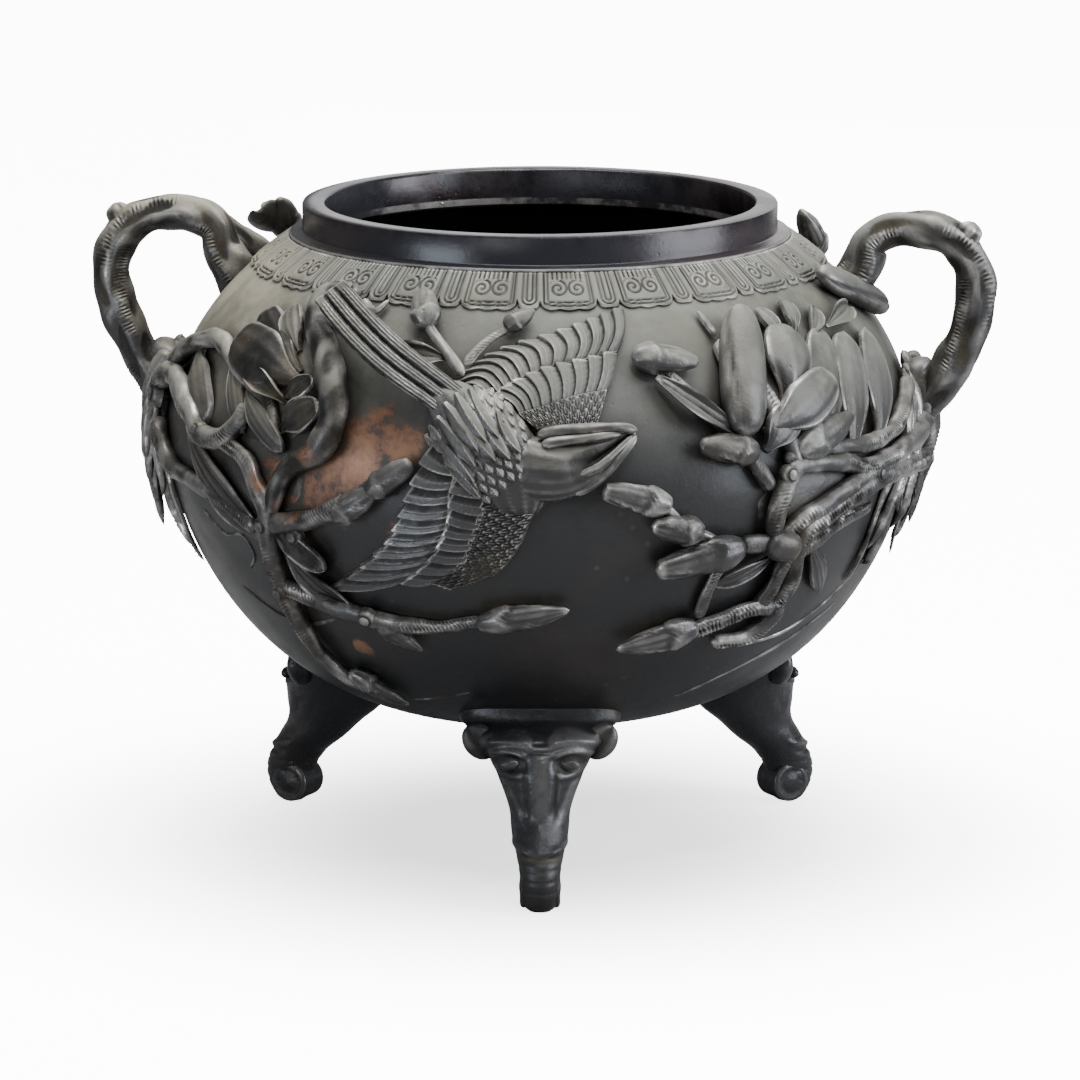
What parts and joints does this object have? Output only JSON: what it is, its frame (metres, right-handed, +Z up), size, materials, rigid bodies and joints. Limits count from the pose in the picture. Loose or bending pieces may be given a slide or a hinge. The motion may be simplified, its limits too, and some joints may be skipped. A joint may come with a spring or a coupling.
{
  "type": "bronze jardiniere",
  "caption": "Round bronze bowl on mask feet, with branch handles and a bird among magnolia branches in high relief round its sides.",
  "frame": {"origin": "on the ground under the middle of the bowl", "axes": "+Z up, -Y towards the front with the bird, +X towards the right handle"},
  "size_m": [0.4242, 0.379, 0.3049],
  "materials": {
    "bowl_bronze": "satin dark patina, dusty grey green on the shoulder",
    "relief_bronze": "worn dark patina with grey green dirt in the hollows",
    "foot_bronze": "satin black brown patina"
  },
  "bodies": {
    "root": {"bowl": "bowl_bronze", "branch_handle_left": "relief_bronze", "branch_handle_right": "relief_bronze", "bird": "relief_bronze", "foot_front": "foot_bronze", "foot_back_left": "foot_bronze", "foot_back_right": "foot_bronze"}
  },
  "joints": []
}
